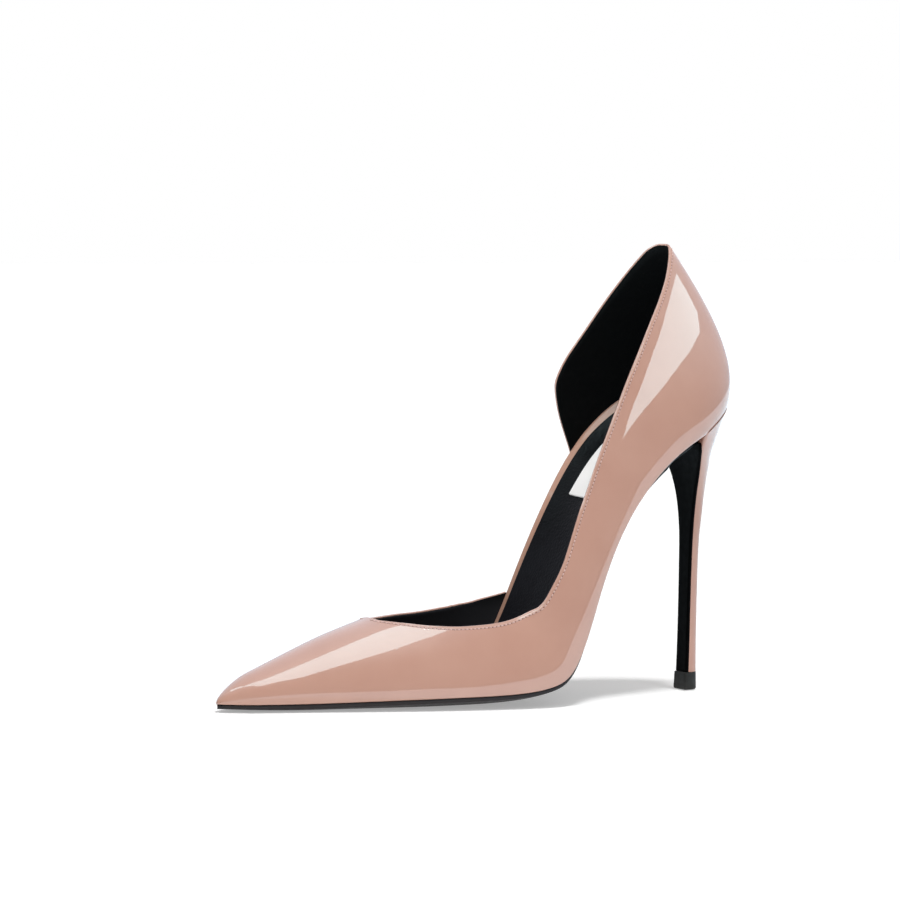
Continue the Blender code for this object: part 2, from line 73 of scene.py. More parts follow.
# Sections of the last, toe to heel. along is a share of SEAT_LENGTH, level of HEEL_HEIGHT,
# outer and inner of BALL_HALF, cone of CONE_HEIGHT; lean is in degrees towards the toe, open goes from
# 0, a section that closes over the foot, to 1, an open wall. The rest is in millimetres: how far the wall
# swells, the back bulges, the bottom dips at its middle and the inner arch lifts, how thick the insole
# board is and how far its rim is cupped, how thick the outsole is and how far it is set in.
LAST_COLUMNS = (
    "along", "level", "outer", "inner", "cone", "lean", "open", "swell", "back", "crown", "arch", "board",
    "cup", "sole", "bevel",
)
LAST_ROWS = (
    (0.000, 0.027, 0.130, 0.130, 0.080, 0.0, 0.00, 1.2, 0.0, 0.6, 0.0, 1.8, 0.0, 0.9, 0.3),
    (0.125, 0.028, 0.360, 0.350, 0.233, 0.0, 0.00, 1.35, 0.0, 1.2, 0.0, 2.0, 0.0, 1.5, 0.5),
    (0.231, 0.034, 0.565, 0.545, 0.345, 1.0, 0.00, 0.75, 0.0, 2.1, 0.0, 2.2, 0.0, 1.4, 0.3),
    (0.333, 0.041, 0.757, 0.728, 0.430, 2.0, 0.00, 0.55, 0.0, 3.1, 0.0, 2.2, 0.0, 1.3, 0.3),
    (0.434, 0.047, 0.905, 0.878, 0.548, 4.0, 0.00, 0.15, 0.0, 3.6, 0.0, 2.2, 0.0, 1.3, 0.3),
    (0.517, 0.055, 0.985, 0.965, 0.642, 10.0, 0.00, 0.1, 0.0, 3.7, 0.0, 2.2, 0.0, 1.3, 0.3),
    (0.580, 0.076, 1.000, 0.965, 0.710, 20.0, 0.00, 0.4, 0.0, 3.4, 0.0, 2.2, 0.0, 1.2, 0.6),
    (0.624, 0.137, 0.970, 0.910, 0.750, 35.0, 0.00, 1.3, 0.0, 2.9, 0.3, 2.0, 0.0, 1.0, 2.2),
    (0.651, 0.240, 0.940, 0.860, 0.771, 45.0, 0.05, 1.75, 0.0, 2.8, 0.8, 1.9, 0.0, 1.0, 3.4),
    (0.684, 0.401, 0.880, 0.780, 0.786, 52.0, 0.12, 2.4, 0.0, 2.8, 1.6, 2.4, 0.0, 1.0, 4.8),
    (0.730, 0.585, 0.800, 0.690, 0.800, 50.0, 0.30, 1.75, 0.0, 3.0, 2.6, 4.5, 0.0, 1.0, 6.0),
    (0.790, 0.750, 0.740, 0.690, 0.857, 45.0, 0.60, 1.1, 0.0, 3.6, 3.6, 6.6, 0.3, 1.0, 6.0),
    (0.864, 0.877, 0.710, 0.710, 0.914, 38.0, 0.80, 1.8, 0.8, 3.8, 3.8, 8.6, 3.5, 1.1, 3.4),
    (0.938, 0.946, 0.700, 0.700, 0.971, 29.0, 0.85, 3.2, 6.8, 2.6, 1.6, 10.0, 12.0, 1.2, 1.6),
    (1.000, 0.994, 0.680, 0.680, 1.000, 17.0, 0.85, 3.0, 13.6, 0.0, 0.0, 9.5, 9.0, 1.2, 1.6),
)

# Top edges of the upper: pairs of a section of the last and a height, which is 0 at the feather edge
# and 1 at the ridge.
THROAT = 0.305
OUTER_TOPLINE = (
    (0.305, 1.000), (0.307, 0.890), (0.315, 0.820), (0.340, 0.695), (0.380, 0.565), (0.435, 0.467),
    (0.515, 0.410), (0.580, 0.396), (0.605, 0.382), (0.650, 0.298), (0.685, 0.260), (0.730, 0.288),
    (0.800, 0.390), (0.938, 0.757), (0.970, 0.862), (1.000, 1.000),
)
INNER_VAMP_TOPLINE = (
    (0.305, 1.000), (0.307, 0.890), (0.315, 0.803), (0.330, 0.710), (0.355, 0.630), (0.405, 0.526),
    (0.475, 0.431), (0.580, 0.349), (0.605, 0.325), (0.625, 0.277), (0.650, 0.155), (0.672, 0.012),
)
INNER_QUARTER_TOPLINE = (
    (0.800, 0.012), (0.810, 0.065), (0.834, 0.352), (0.845, 0.458), (0.860, 0.522), (0.900, 0.657),
    (0.945, 0.833), (0.978, 0.963), (0.988, 0.999), (0.995, 1.010), (1.000, 1.000),
)

# Sections of the heel with its breast cover, from under the seat to the top lift, in millimetres.
HEEL_COLUMNS = ("front_x", "front_z", "back_x", "back_z", "half")
HEEL_ROWS = (
    (202.8, 94.0, 217.9, 101.5, 14.6),
    (204.5, 88.6, 216.0, 94.5, 11.4),
    (205.6, 83.2, 215.2, 87.5, 8.9),
    (206.3, 75.0, 214.3, 77.0, 6.2),
    (206.6, 65.0, 213.5, 66.0, 4.5),
    (206.6, 55.0, 212.7, 55.3, 3.8),
    (206.5, 37.0, 212.5, 37.0, 3.5),
    (206.4, 19.0, 212.5, 19.0, 3.5),
    (206.2, TIP_LENGTH + GAP, 212.7, TIP_LENGTH + GAP, 3.6),
)
FLAP_TOP_HALF = 15.6     # half width of the breast cover where it meets the outsole
BREAST_HOLLOW = 0.8      # how far the breast curves back at its middle, at the top
SOLE_END = 0.9355        # section of the last where the outsole ends at the heel breast
PAD_START = 0.762        # section of the last where the heel pad starts
BOARD_START = 0.035      # sections of the last where the insole board and the sock start
SOCK_START = 0.055
FOLLOW = 0.8             # how much of the wall's flare the pieces inside follow


class Curve:
    """Natural cubic spline through rows of knots and values, smooth in slope and in curvature."""

    def __init__(self, knots, values):
        self.knots = np.array(knots, dtype=float)
        self.values = np.array(values, dtype=float)
        step = np.diff(self.knots)
        slope = np.diff(self.values) / step
        matrix = np.eye(len(self.knots))
        right = np.zeros(len(self.knots))
        for i in range(1, len(step)):
            matrix[i, i - 1:i + 2] = step[i - 1], 2 * (step[i - 1] + step[i]), step[i]
            right[i] = 6 * (slope[i] - slope[i - 1])
        self.bends = np.linalg.solve(matrix, right)

    def __call__(self, at):
        at = np.asarray(at, dtype=float)
        i = np.clip(np.searchsorted(self.knots, at) - 1, 0, len(self.knots) - 2)
        step = self.knots[i + 1] - self.knots[i]
        left = (self.knots[i + 1] - at) / step
        right = 1 - left
        curved = (left ** 3 - left) * self.bends[i] + (right ** 3 - right) * self.bends[i + 1]
        return left * self.values[i] + right * self.values[i + 1] + curved * step ** 2 / 6


def past_throat(u):
    """Square root of the way past the throat, over which a top edge leaves the throat in a round."""
    return np.sqrt(np.maximum(np.asarray(u, dtype=float) - THROAT, 0))


class Edge:
    """Curve through rows that keeps between its rows, for top edges that turn sharply."""

    def __init__(self, rows):
        along, self.values = np.array(rows, dtype=float).T
        self.knots = past_throat(along)
        step = np.diff(self.knots)
        slope = np.diff(self.values) / step
        inside = np.zeros(len(self.knots))
        same_way = slope[:-1] * slope[1:] > 0
        mean = 2 * slope[:-1] * slope[1:] / np.where(same_way, slope[:-1] + slope[1:], 1)
        inside[1:-1] = np.where(same_way, mean, 0)
        inside[0], inside[-1] = slope[0], slope[-1]
        self.slopes = inside

    def __call__(self, at):
        at = past_throat(at)
        i = np.clip(np.searchsorted(self.knots, at) - 1, 0, len(self.knots) - 2)
        step = self.knots[i + 1] - self.knots[i]
        t = (at - self.knots[i]) / step
        near, far = 2 * t ** 3 - 3 * t ** 2 + 1, 3 * t ** 2 - 2 * t ** 3
        leave, arrive = t ** 3 - 2 * t ** 2 + t, t ** 3 - t ** 2
        level = near * self.values[i] + far * self.values[i + 1]
        return level + step * (leave * self.slopes[i] + arrive * self.slopes[i + 1])


def table(columns, rows):
    """Curves by column name, over the first column of the rows."""
    values = np.array(rows, dtype=float).T
    return {name: Curve(values[0], column) for name, column in zip(columns, values)}


LAST = table(LAST_COLUMNS, LAST_ROWS)


def toe_rounding(u):
    short = np.clip(1 - SEAT_LENGTH * np.asarray(u, dtype=float) / TOE_ROUND, 0, 1)
    return np.sqrt(1 - short ** 2)


def heel_rounding(u):
    past = np.clip(1 - SEAT_LENGTH * (1 - np.asarray(u, dtype=float)) / HEEL_ROUND, 0, 1)
    return np.sqrt(1 - past ** 2.2)


def half_width(side, u):
    share = LAST["outer" if side == OUTER else "inner"](u)
    return BALL_HALF * share * toe_rounding(u) * heel_rounding(u)


def feather(u):
    """Height line of the outer feather edge, as x and z."""
    return SEAT_LENGTH * np.asarray(u, dtype=float), HEEL_HEIGHT * LAST["level"](u)


def upright(u):
    """Unit direction, as x and z, square to the bottom of the last."""
    x0, z0 = feather(u - 1e-4)
    x1, z1 = feather(u + 1e-4)
    length = np.hypot(x1 - x0, z1 - z0)
    return (z0 - z1) / length, (x1 - x0) / length


def flare(h):
    """How the wall swells outwards, from 0 at the feather edge over a low peak to 0 at the top."""
    return np.sin(math.pi * np.clip(h, 0, 1) ** 0.64)


def bottom_point(u, y, raised=0.0):
    """Point of the last's bottom at y; the edges curl up, the inner arch is lifted.

    A point raised above the bottom follows the flare of the wall; one below goes down square to the bottom.
    """
    u, y, raised = np.broadcast_arrays(*(np.asarray(value, dtype=float) for value in (u, y, raised)))
    wide = np.where(y < 0, half_width(OUTER, u), half_width(INNER, u))
    share = np.clip(np.abs(y) / np.maximum(wide, 1e-6), 0, 1)
    high = np.maximum(raised, 0)
    gape = LAST["open"](u)
    tall = CONE_HEIGHT * LAST["cone"](u) * (math.pi / 2 * (1 - gape) + gape)
    swell = flare(np.minimum(high / tall, 0.25))
    lean = np.radians(LAST["lean"](u))
    below = LAST["crown"](u) * (share ** 3 - 1) + np.where(y > 0, LAST["arch"](u) * share ** 2, 0)
    below = below + np.minimum(raised, 0)
    x, z = feather(u)
    to_x, to_z = upright(u)
    x = x + to_x * below - np.sin(lean) * high + FOLLOW * LAST["back"](u) * swell
    z = z + to_z * below + np.cos(lean) * high
    spread = FOLLOW * LAST["swell"](u) * swell * toe_rounding(u) * heel_rounding(u)
    return np.stack([x, y + np.sign(y) * share * spread, z], axis=-1)


def wall_point(side, u, h):
    """Point of the upper's outer surface: h is 0 at the feather edge, 1 at the ridge or the back's top."""
    u, h = np.broadcast_arrays(np.asarray(u, dtype=float), np.asarray(h, dtype=float))
    wide = half_width(side, u)
    base = bottom_point(u, side * wide)
    turn = h * math.pi / 2
    gape = LAST["open"](u)
    across = wide * (gape * (1 - 0.25 * h ** 1.5) + (1 - gape) * np.cos(turn))
    up = CONE_HEIGHT * LAST["cone"](u) * toe_rounding(u) * ((1 - gape) * np.sin(turn) + gape * h)
    swell = flare(h)
    lean = np.radians(LAST["lean"](u))
    y = side * (across + LAST["swell"](u) * swell * toe_rounding(u) * heel_rounding(u))
    x = base[..., 0] - np.sin(lean) * up + LAST["back"](u) * swell
    z = base[..., 2] + np.cos(lean) * up
    return np.stack([x, y, z], axis=-1)


# Bottom of the last laid flat: sections close together, and their distance from the toe along the bottom.
DENSE = np.concatenate([
    TOE_ROUND / SEAT_LENGTH * (1 - np.cos(np.linspace(0, math.pi / 2, 60))),
    np.linspace(TOE_ROUND / SEAT_LENGTH, 0.79, 300)[1:],
    0.79 + 0.21 * np.sin(np.linspace(0, math.pi / 2, 200))[1:],
])
LAID_FLAT = np.concatenate([[0], np.cumsum(np.hypot(*np.diff(feather(DENSE), axis=1)))])
NOSE_END, SEAT_START = TOE_ROUND / SEAT_LENGTH, 0.89


def flat_outline(side, inset):
    """Distance along the flat bottom and half width, for an outline set in from the feather edge."""
    wide = half_width(side, DENSE)
    run, spread = np.gradient(LAID_FLAT), np.gradient(wide)
    length = np.hypot(run, spread)
    along = LAID_FLAT + inset * spread / length
    inside = wide - inset * run / length
    kept = inside > 0
    order = np.argsort(along[kept])
    return along[kept][order], inside[kept][order]


def cup(u, y):
    """How far the rim of the insole is raised at y: not along its middle, fully along its outline."""
    wide = np.where(y < 0, half_width(OUTER, u), half_width(INNER, u))
    round_end = heel_rounding(u)
    share = (round_end * y / np.maximum(wide, 1e-6)) ** 2 + 1 - round_end ** 2
    return LAST["cup"](u) * np.clip(share, 0, 1) ** 1.3


# Placing: the toe tip and the heel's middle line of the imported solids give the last's place in the frame.
TOE_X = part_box("upper")[0][0]
MIDDLE_Y = (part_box("top_lift")[0][1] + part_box("top_lift")[1][1]) / 2


def placed(points):
    """Points of the last's frame, in millimetres, as metres in the shared frame."""
    return np.asarray(points, dtype=float).reshape(-1, 3) * MM + [TOE_X, MIDDLE_Y, 0.0]


def new_piece(name, points, faces, material, stands_for=None, slot=None):
    """Smooth mesh piece of one material that rides on the shoe, with doubled points joined."""
    mesh = bpy.data.meshes.new(name)
    mesh.from_pydata(placed(points).tolist(), [], faces)
    build = bmesh.new()
    build.from_mesh(mesh)
    bmesh.ops.remove_doubles(build, verts=build.verts, dist=0.004 * MM)
    bmesh.ops.dissolve_degenerate(build, edges=build.edges, dist=0.001 * MM)
    bmesh.ops.recalc_face_normals(build, faces=build.faces)
    build.to_mesh(mesh)
    build.free()
    mesh.polygons.foreach_set("use_smooth", [True] * len(mesh.polygons))
    mesh.materials.append(material)
    piece = bpy.data.objects.new(name, mesh)
    bpy.context.collection.objects.link(piece)
    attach(piece, "root")
    if stands_for:
        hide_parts(stands_for)
    return piece


def sheet_faces(first, columns, rows):
    """Quads of a grid of points that starts at index first."""
    corners = [first + c * rows + r for c in range(columns - 1) for r in range(rows - 1)]
    return [(corner, corner + rows, corner + rows + 1, corner + 1) for corner in corners]


def closed_slab(lower, upper):
    """Points and faces of the closed body between two grids of the same size."""
    columns, rows = lower.shape[:2]
    count = columns * rows
    points = np.concatenate([lower.reshape(-1, 3), upper.reshape(-1, 3)])
    faces = [face[::-1] for face in sheet_faces(0, columns, rows)] + sheet_faces(count, columns, rows)
    rim = [c * rows for c in range(columns)]
    rim += [(columns - 1) * rows + r for r in range(1, rows)]
    rim += [c * rows + rows - 1 for c in range(columns - 2, -1, -1)]
    rim += [r for r in range(rows - 2, 0, -1)]
    for here, there in zip(rim, rim[1:] + rim[:1]):
        faces.append((here, there, there + count, here + count))
    return points, faces


def loft(rings):
    """Points and faces of a closed body through loops of the same number of points."""
    around = len(rings[0])
    faces = [tuple(range(around))[::-1]]
    end = (len(rings) - 1) * around
    for low in range(0, end, around):
        high = low + around
        for i in range(around):
            there = (i + 1) % around
            faces.append((low + i, low + there, high + there, high + i))
    faces.append(tuple(range(end, end + around)))
    return np.concatenate(rings), faces


def joined(bodies):
    """Points and faces of several bodies as one."""
    points, faces, start = [], [], 0
    for body_points, body_faces in bodies:
        points.append(body_points)
        faces += [tuple(start + i for i in face) for face in body_faces]
        start += len(body_points)
    return np.concatenate(points), faces


def fine_stations(start, end, count, extra=()):
    """Sections from start to end, even along the bottom, closer where the nose and the heel seat turn."""
    nose = NOSE_END * (1 - np.cos(np.linspace(0, math.pi / 2, 24)))
    reach = np.interp([NOSE_END, SEAT_START], DENSE, LAID_FLAT)
    middle = np.interp(np.linspace(*reach, count), LAID_FLAT, DENSE)
    seat = SEAT_START + (1 - SEAT_START) * np.sin(np.linspace(0, math.pi / 2, 34))
    every = np.unique(np.concatenate([nose, middle, seat, extra]).round(6))
    every = every[(every > start + 3e-4) & (every < end - 3e-4)]
    return np.concatenate([[start], every, [end]])


# Upper: outer leather, black lining, folded top edge and its row of stitches.
LEATHER = 0.75           # thickness of the outer leather, in millimetres
LINING = 0.6
THROAT_ROUND = 0.05      # ways past the throat and past the quarter's front corner with closer sections
CORNER_ROUND = 0.082
RUNS = {
    "outer": (OUTER, 0.0, 1.0, OUTER_TOPLINE),
    "vamp": (INNER, 0.0, INNER_VAMP_TOPLINE[-1][0], INNER_VAMP_TOPLINE),
    "quarter": (INNER, INNER_QUARTER_TOPLINE[0][0], 1.0, INNER_QUARTER_TOPLINE),
}


def top_height(run, u):
    """Height of a run's top edge at a section: 1 over the closed vamp, then its top edge."""
    topline = RUNS[run][3]
    edge = Edge(topline)(np.clip(u, topline[0][0], topline[-1][0]))
    return np.where((u <= THROAT) & (run != "quarter"), 1.0, edge)


def run_stations(run):
    _, start, end, topline = RUNS[run]
    throat = THROAT + THROAT_ROUND * np.linspace(0, 1, 26) ** 2
    corner = topline[0][0] + np.linspace(0, CORNER_ROUND, 30)
    return fine_stations(start, end, 150, corner if run == "quarter" else throat)


def upper_skin(depth, short, rows):
    """Welded grid of the upper's three runs, moved inwards by depth, with the top edge lowered by short."""
    points, faces = [], []
    share = np.linspace(0, 1, rows) ** 1.4
    for run, (side, _, _, _) in RUNS.items():
        stations = run_stations(run)
        top = top_height(run, stations)
        tall = CONE_HEIGHT * LAST["cone"](stations) * np.maximum(toe_rounding(stations), 0.2)
        open_edge = stations > THROAT if run != "quarter" else stations > 0
        top = np.where(open_edge, np.maximum(top - short / tall, 0.2 * top), top)
        faces += sheet_faces(sum(len(done) for done in points), len(stations), rows)
        points.append(wall_point(side, stations[:, None], top[:, None] * share[None, :]).reshape(-1, 3))
    build = bmesh.new()
    mesh = bpy.data.meshes.new("skin")
    mesh.from_pydata(np.concatenate(points).tolist(), [], faces)
    build.from_mesh(mesh)
    bmesh.ops.remove_doubles(build, verts=build.verts, dist=0.02)
    bmesh.ops.dissolve_degenerate(build, edges=build.edges, dist=0.005)
    bmesh.ops.recalc_face_normals(build, faces=build.faces)
    build.normal_update()
    build.verts.index_update()
    spots = np.array([vertex.co for vertex in build.verts])
    normals = np.array([vertex.normal for vertex in build.verts])
    kept = [tuple(vertex.index for vertex in face.verts) for face in build.faces]
    middle = spots.mean(axis=0)
    outward = np.sign(np.sum((spots - middle) * normals))
    build.free()
    bpy.data.meshes.remove(mesh)
    moved = spots - outward * depth * normals
    moved[:, 0] = np.maximum(moved[:, 0], 2.0 * depth)
    return moved, outward * normals, kept


def shell(name, material, depth, thickness, short, rows, **link):
    """Closed skin of the upper between two depths below its outer surface."""
    outside, normals, faces = upper_skin(depth, short, rows)
    inside = outside - thickness * normals
    count = len(outside)
    edges = {}
    for face in faces:
        for here, there in zip(face, face[1:] + face[:1]):
            edges[(here, there)] = face
    rim = [(here, there) for here, there in edges if (there, here) not in edges]
    every = faces + [tuple(count + i for i in face)[::-1] for face in faces]
    every += [(there, here, here + count, there + count) for here, there in rim]
    return new_piece(name, np.concatenate([outside, inside]), every, material, **link)


def unit(vectors):
    return vectors / np.maximum(np.linalg.norm(vectors, axis=-1, keepdims=True), 1e-9)


def top_edge(run, pitch):
    """Even places along a run's top edge: point, direction along it, into the wall and out of it."""
    side, _, _, topline = RUNS[run]
    first, last = topline[0][0], topline[-1][0]
    u = first + (last - first) * np.linspace(0, 1, 3000) ** (1.0 if run == "quarter" else 2.0)
    line = wall_point(side, u, top_height(run, u))
    far = np.concatenate([[0], np.cumsum(np.linalg.norm(np.diff(line, axis=0), axis=1))])
    count = max(int(far[-1] / pitch), 4)
    u = np.interp(np.linspace(0, far[-1], count + 1), far, u)
    h = top_height(run, u)
    step = 2e-4
    low, high = np.maximum(u - step, first), np.minimum(u + step, last)
    spot = wall_point(side, u, h)
    low_top, high_top = top_height(run, low), top_height(run, high)
    along = unit(wall_point(side, high, high_top) - wall_point(side, low, low_top))
    by_u = (wall_point(side, high, h) - wall_point(side, low, h)) / (high - low)[:, None]
    by_h = (wall_point(side, u, h) - wall_point(side, u, h - step)) / step
    out = -side * unit(np.cross(by_u, by_h))
    steep = (high_top - low_top) / (high - low)
    into = steep[:, None] * by_u - by_h
    into = unit(into - np.sum(into * along, axis=1, keepdims=True) * along)
    return spot, along, into, out


# Folded edge and stitches, in millimetres: the fold's centre below the top edge and under the surface.
FOLD_DROP, FOLD_DEPTH = 0.38, 0.44
FOLD_HALF_HIGH, FOLD_HALF_THICK, FOLD_PITCH = 0.40, 0.48, 0.8
STITCH_PITCH, STITCH_LENGTH, STITCH_RADIUS, STITCH_DROP = 1.5, 1.15, 0.26, 1.5
STITCH_PROFILE = (       # rings of a stitch: share of its length, share of its radius and lift
    (-0.5, 0.25, -0.16), (-0.38, 0.8, -0.02), (0.0, 1.0, 0.05), (0.38, 0.8, -0.02), (0.5, 0.25, -0.16),
)
HOLE_HALF_LONG, HOLE_HALF_WIDE = 0.28, 0.22
HOLE_PROFILE = ((1.0, -0.06), (0.9, 0.03), (0.3, 0.06))  # rings of a needle hole: share of size, lift


def circle(count):
    """Cosines and sines of even turns round a circle, as columns."""
    turn = np.linspace(0, 2 * math.pi, count + 1)[:-1, None]
    return np.cos(turn), np.sin(turn)


def folded_edge(material):
    """Rounded fold of leather along each top edge, as thick as the outer leather."""
    cosines, sines = circle(12)
    folds = []
    for run in RUNS:
        spot, _, into, out = top_edge(run, FOLD_PITCH)
        centre = spot + FOLD_DROP * into - FOLD_DEPTH * out
        folds.append(loft([
            c + FOLD_HALF_HIGH * cosines * i + FOLD_HALF_THICK * sines * o
            for c, i, o in zip(centre, into, out)
        ]))
    return new_piece("topline_fold", *joined(folds), material, slot="nude_patent")


def stitch_rows(material):
    """Single row of stitches below each top edge, every stitch a small bent capsule of thread."""
    cosines, sines = circle(6)
    stitches = []
    for run in RUNS:
        spot, along, into, out = top_edge(run, STITCH_PITCH)
        seat = spot + STITCH_DROP * into
        for c, a, i, o in list(zip(seat, along, into, out))[2:-2]:
            loop = STITCH_RADIUS * (cosines * i + sines * o)
            stitches.append(loft([
                c + STITCH_LENGTH * place * a + lift * o + thick * loop
                for place, thick, lift in STITCH_PROFILE
            ]))
    return new_piece("topline_stitches", *joined(stitches), material, slot="nude_patent")


def stitch_holes(material):
    """Needle holes between the stitches, every hole a small flat lens on the leather, dark as painted
    shade.
    """
    cosines, sines = circle(8)
    holes = []
    for run in RUNS:
        spot, along, into, out = top_edge(run, STITCH_PITCH / 2)
        seat = spot + STITCH_DROP * into
        for c, a, i, o in list(zip(seat, along, into, out))[5:-5:2]:
            oval = HOLE_HALF_LONG * cosines * a + HOLE_HALF_WIDE * sines * i
            holes.append(loft([c + size * oval + lift * o for size, lift in HOLE_PROFILE]))
    return new_piece("topline_holes", *joined(holes), material, slot="nude_patent")


# Flat pieces: insole board, sock, heel pad and outsole, with softened top edges.
def cut_piece(inset, low, high, soft, cupped=(0, 0), start=None, end=None, rows=45, count=130):
    """Closed body of a flat piece between two heights above the bottom, its upper edge rounded by soft."""
    outlines = [flat_outline(OUTER, inset), flat_outline(INNER, inset)]
    reach = [max(line[0][0] for line in outlines), min(line[0][-1] for line in outlines)]
    tips = np.interp(reach, LAID_FLAT, DENSE)
    first = tips[0] if start is None else start
    last = tips[1] if end is None else end
    stations = fine_stations(0 if start is None else start, 1 if end is None else end, count)
    if start is None:
        nose = stations < NOSE_END
        stations[nose] = first + stations[nose] * (NOSE_END - first) / NOSE_END
    if end is None:
        seat = stations > SEAT_START
        stations[seat] = last - (1 - stations[seat]) * (last - SEAT_START) / (1 - SEAT_START)
    distance = np.interp(stations, DENSE, LAID_FLAT)
    outer, inner = (np.interp(distance, *line)[:, None] for line in outlines)
    share = (1 - np.cos(np.linspace(0, math.pi, rows))) / 2
    y = -outer * (1 - share) + inner * share
    rim = np.minimum(np.minimum(y + outer, inner - y), np.maximum(np.minimum(outer, inner), 1e-3))
    drop = soft - np.sqrt(np.maximum(soft ** 2 - np.maximum(soft - rim, 0) ** 2, 0))
    rise = cup(stations[:, None], y)
    bottom = bottom_point(stations[:, None], y, low(stations)[:, None] + cupped[0] * rise)
    bottom[..., 2] = np.maximum(bottom[..., 2], 0.0)
    top = bottom_point(stations[:, None], y, high(stations)[:, None] + cupped[1] * rise - drop)
    return closed_slab(bottom, top)


# Heel: D-shaped rings from the seat to the top lift, joined by smooth curves.
RING_FRONT, RING_BACK = 15, 33         # points of a ring along the breast and round the back
SEAT_INSET, SEAT_DROP = 0.05, 0.05     # how far the seat's loop is set in and lies below the bottom
SEAM_RISE, SEAM_START, SKIRT = 5.2, 0.925, 0.10
HOLLOW_FROM, HOLLOW_RANGE = 3.0, 13.0  # half widths of the heel over which its breast becomes hollow
FLAP_ROUND, FLAP_ROUND_SHARE = 3.5, 0.6   # round upper corners of the flap: width, share of its top
FLAP_STEP = 0.012                      # way of the flap's top ahead of the sole's end
TIP_RINGS = (                          # level of each ring of the tip and how far it grows there
    (TIP_LENGTH + 0.2, -0.35), (TIP_LENGTH + 0.15, -0.1), (TIP_LENGTH - 0.1, 0.0), (4.0, 0.05),
    (0.8, 0.15), (0.3, 0.08), (0.08, -0.08), (0.0, -0.3),
)


def breast_hollow(half):
    return BREAST_HOLLOW * float(np.clip((half - HOLLOW_FROM) / HOLLOW_RANGE, 0, 1))


def breast_line(front_x, front_z, half, hollow, across):
    """Points across the heel's breast, which curves back at its middle."""
    x = front_x + hollow * (1 - across ** 2)
    return np.stack([x, half * across, np.full(len(across), front_z)], axis=-1)


def ring(front_x, front_z, back_x, back_z, half, hollow):
    """D-shaped loop: along the breast from inner to outer corner, then round the back."""
    breast = breast_line(front_x, front_z, half, hollow, np.linspace(1, -1, RING_FRONT))
    turn = np.linspace(0, math.pi, RING_BACK)[1:-1]
    deep = np.sin(turn)
    behind = np.stack([
        front_x + (back_x - front_x) * deep, -half * np.cos(turn), front_z + (back_z - front_z) * deep,
    ], axis=-1)
    return np.concatenate([breast, behind])


def seat_path(back=RING_BACK):
    """Heel seat's loop: distance along the flat bottom, share of the half width, half width and middle."""
    outlines = {side: flat_outline(side, SEAT_INSET) for side in (OUTER, INNER)}
    first = np.interp(SOLE_END, DENSE, LAID_FLAT) + GAP
    finish = min(outlines[OUTER][0][-1], outlines[INNER][0][-1]) - 0.02
    turn = np.linspace(0, math.pi, back)[1:-1]
    along = np.concatenate([np.full(RING_FRONT, first), first + (finish - first) * np.sin(turn)])
    across = np.concatenate([np.linspace(1, -1, RING_FRONT), np.where(turn < math.pi / 2, -1, 1)])
    wide = np.where(across < 0, np.interp(along, *outlines[OUTER]), np.interp(along, *outlines[INNER]))
    return along, across, wide, first + 0.4 * (finish - first)


def seat_ring(shrink, back=RING_BACK):
    """Loop under the heel seat, shrunk towards its middle."""
    along, across, wide, middle = seat_path(back)
    along = middle + shrink * (along - middle)
    return bottom_point(np.interp(along, LAID_FLAT, DENSE), shrink * across * wide, -SEAT_DROP)


def wall_normal(side, u, h):
    """Outward unit direction of the upper's wall."""
    step = 2e-4
    by_u = wall_point(side, u, h) - wall_point(side, u - step, h)
    by_h = wall_point(side, u, h + step) - wall_point(side, u, h)
    return -side * unit(np.cross(by_u, by_h))


def skirt_ring(share, spread=0.0, back=RING_BACK):
    """Loop of the heel cover round the foot of the upper, up to the seam at share 1."""
    along, across, _, _ = seat_path(back)
    loop = seat_ring(1.0, back)
    u = np.interp(along, LAID_FLAT, DENSE)
    turned = np.clip((u - SEAM_START) / (1 - SEAM_START), 0, 1)
    rise = SEAM_RISE * turned ** 1.1 + spread * (1 - turned)
    h = share * rise / (CONE_HEIGHT * LAST["cone"](u))
    for side in (OUTER, INNER):
        behind = (np.arange(len(u)) >= RING_FRONT) & (np.sign(across) == side)
        loop[behind] = (wall_point(side, u, h) + SKIRT * wall_normal(side, u, h))[behind]
    return loop


def heel_section(values, push=0.0):
    sizes = dict(zip(HEEL_COLUMNS, values))
    sizes["front_x"] += push
    return ring(**sizes, hollow=breast_hollow(sizes["half"]))


def heel_body():
    """Heel rings: the seat, the cover round the foot of the upper, then curves down to the top lift."""
    knots = np.concatenate([[-0.9], np.arange(len(HEEL_ROWS))])
    loops = np.array([skirt_ring(1.0)] + [heel_section(row, BREAST_COVER + 0.05) for row in HEEL_ROWS])
    at = np.concatenate([np.linspace(-0.9, 1, 26), np.linspace(1, len(HEEL_ROWS) - 1, 60)[1:]])
    flat = loops.reshape(len(knots), -1)
    smooth = np.stack([Curve(knots, column)(at) for column in flat.T], axis=-1).reshape(len(at), -1, 3)
    inside = [seat_ring(shrink) for shrink in (0.25, 0.5, 0.75, 0.95)]
    return loft(inside + list(smooth))


def seam_crease(spread, radius):
    """Fine crease round the back where the heel cover meets the upper."""
    back = 129
    along = seat_path(back)[0]
    line = skirt_ring(1.0, spread, back)
    line = line[np.interp(along, LAID_FLAT, DENSE) > SEAM_START - 0.02]
    ahead = unit(np.gradient(line, axis=0))
    aside = unit(np.cross(ahead, (0.0, 0.0, 1.0)))
    over = np.cross(aside, ahead)
    cosines, sines = circle(8)
    thick = radius * np.sin(np.linspace(0.15, math.pi - 0.15, len(line))) ** 0.5
    return loft([c + r * (cosines * s + sines * o) for c, r, s, o in zip(line, thick, aside, over)])


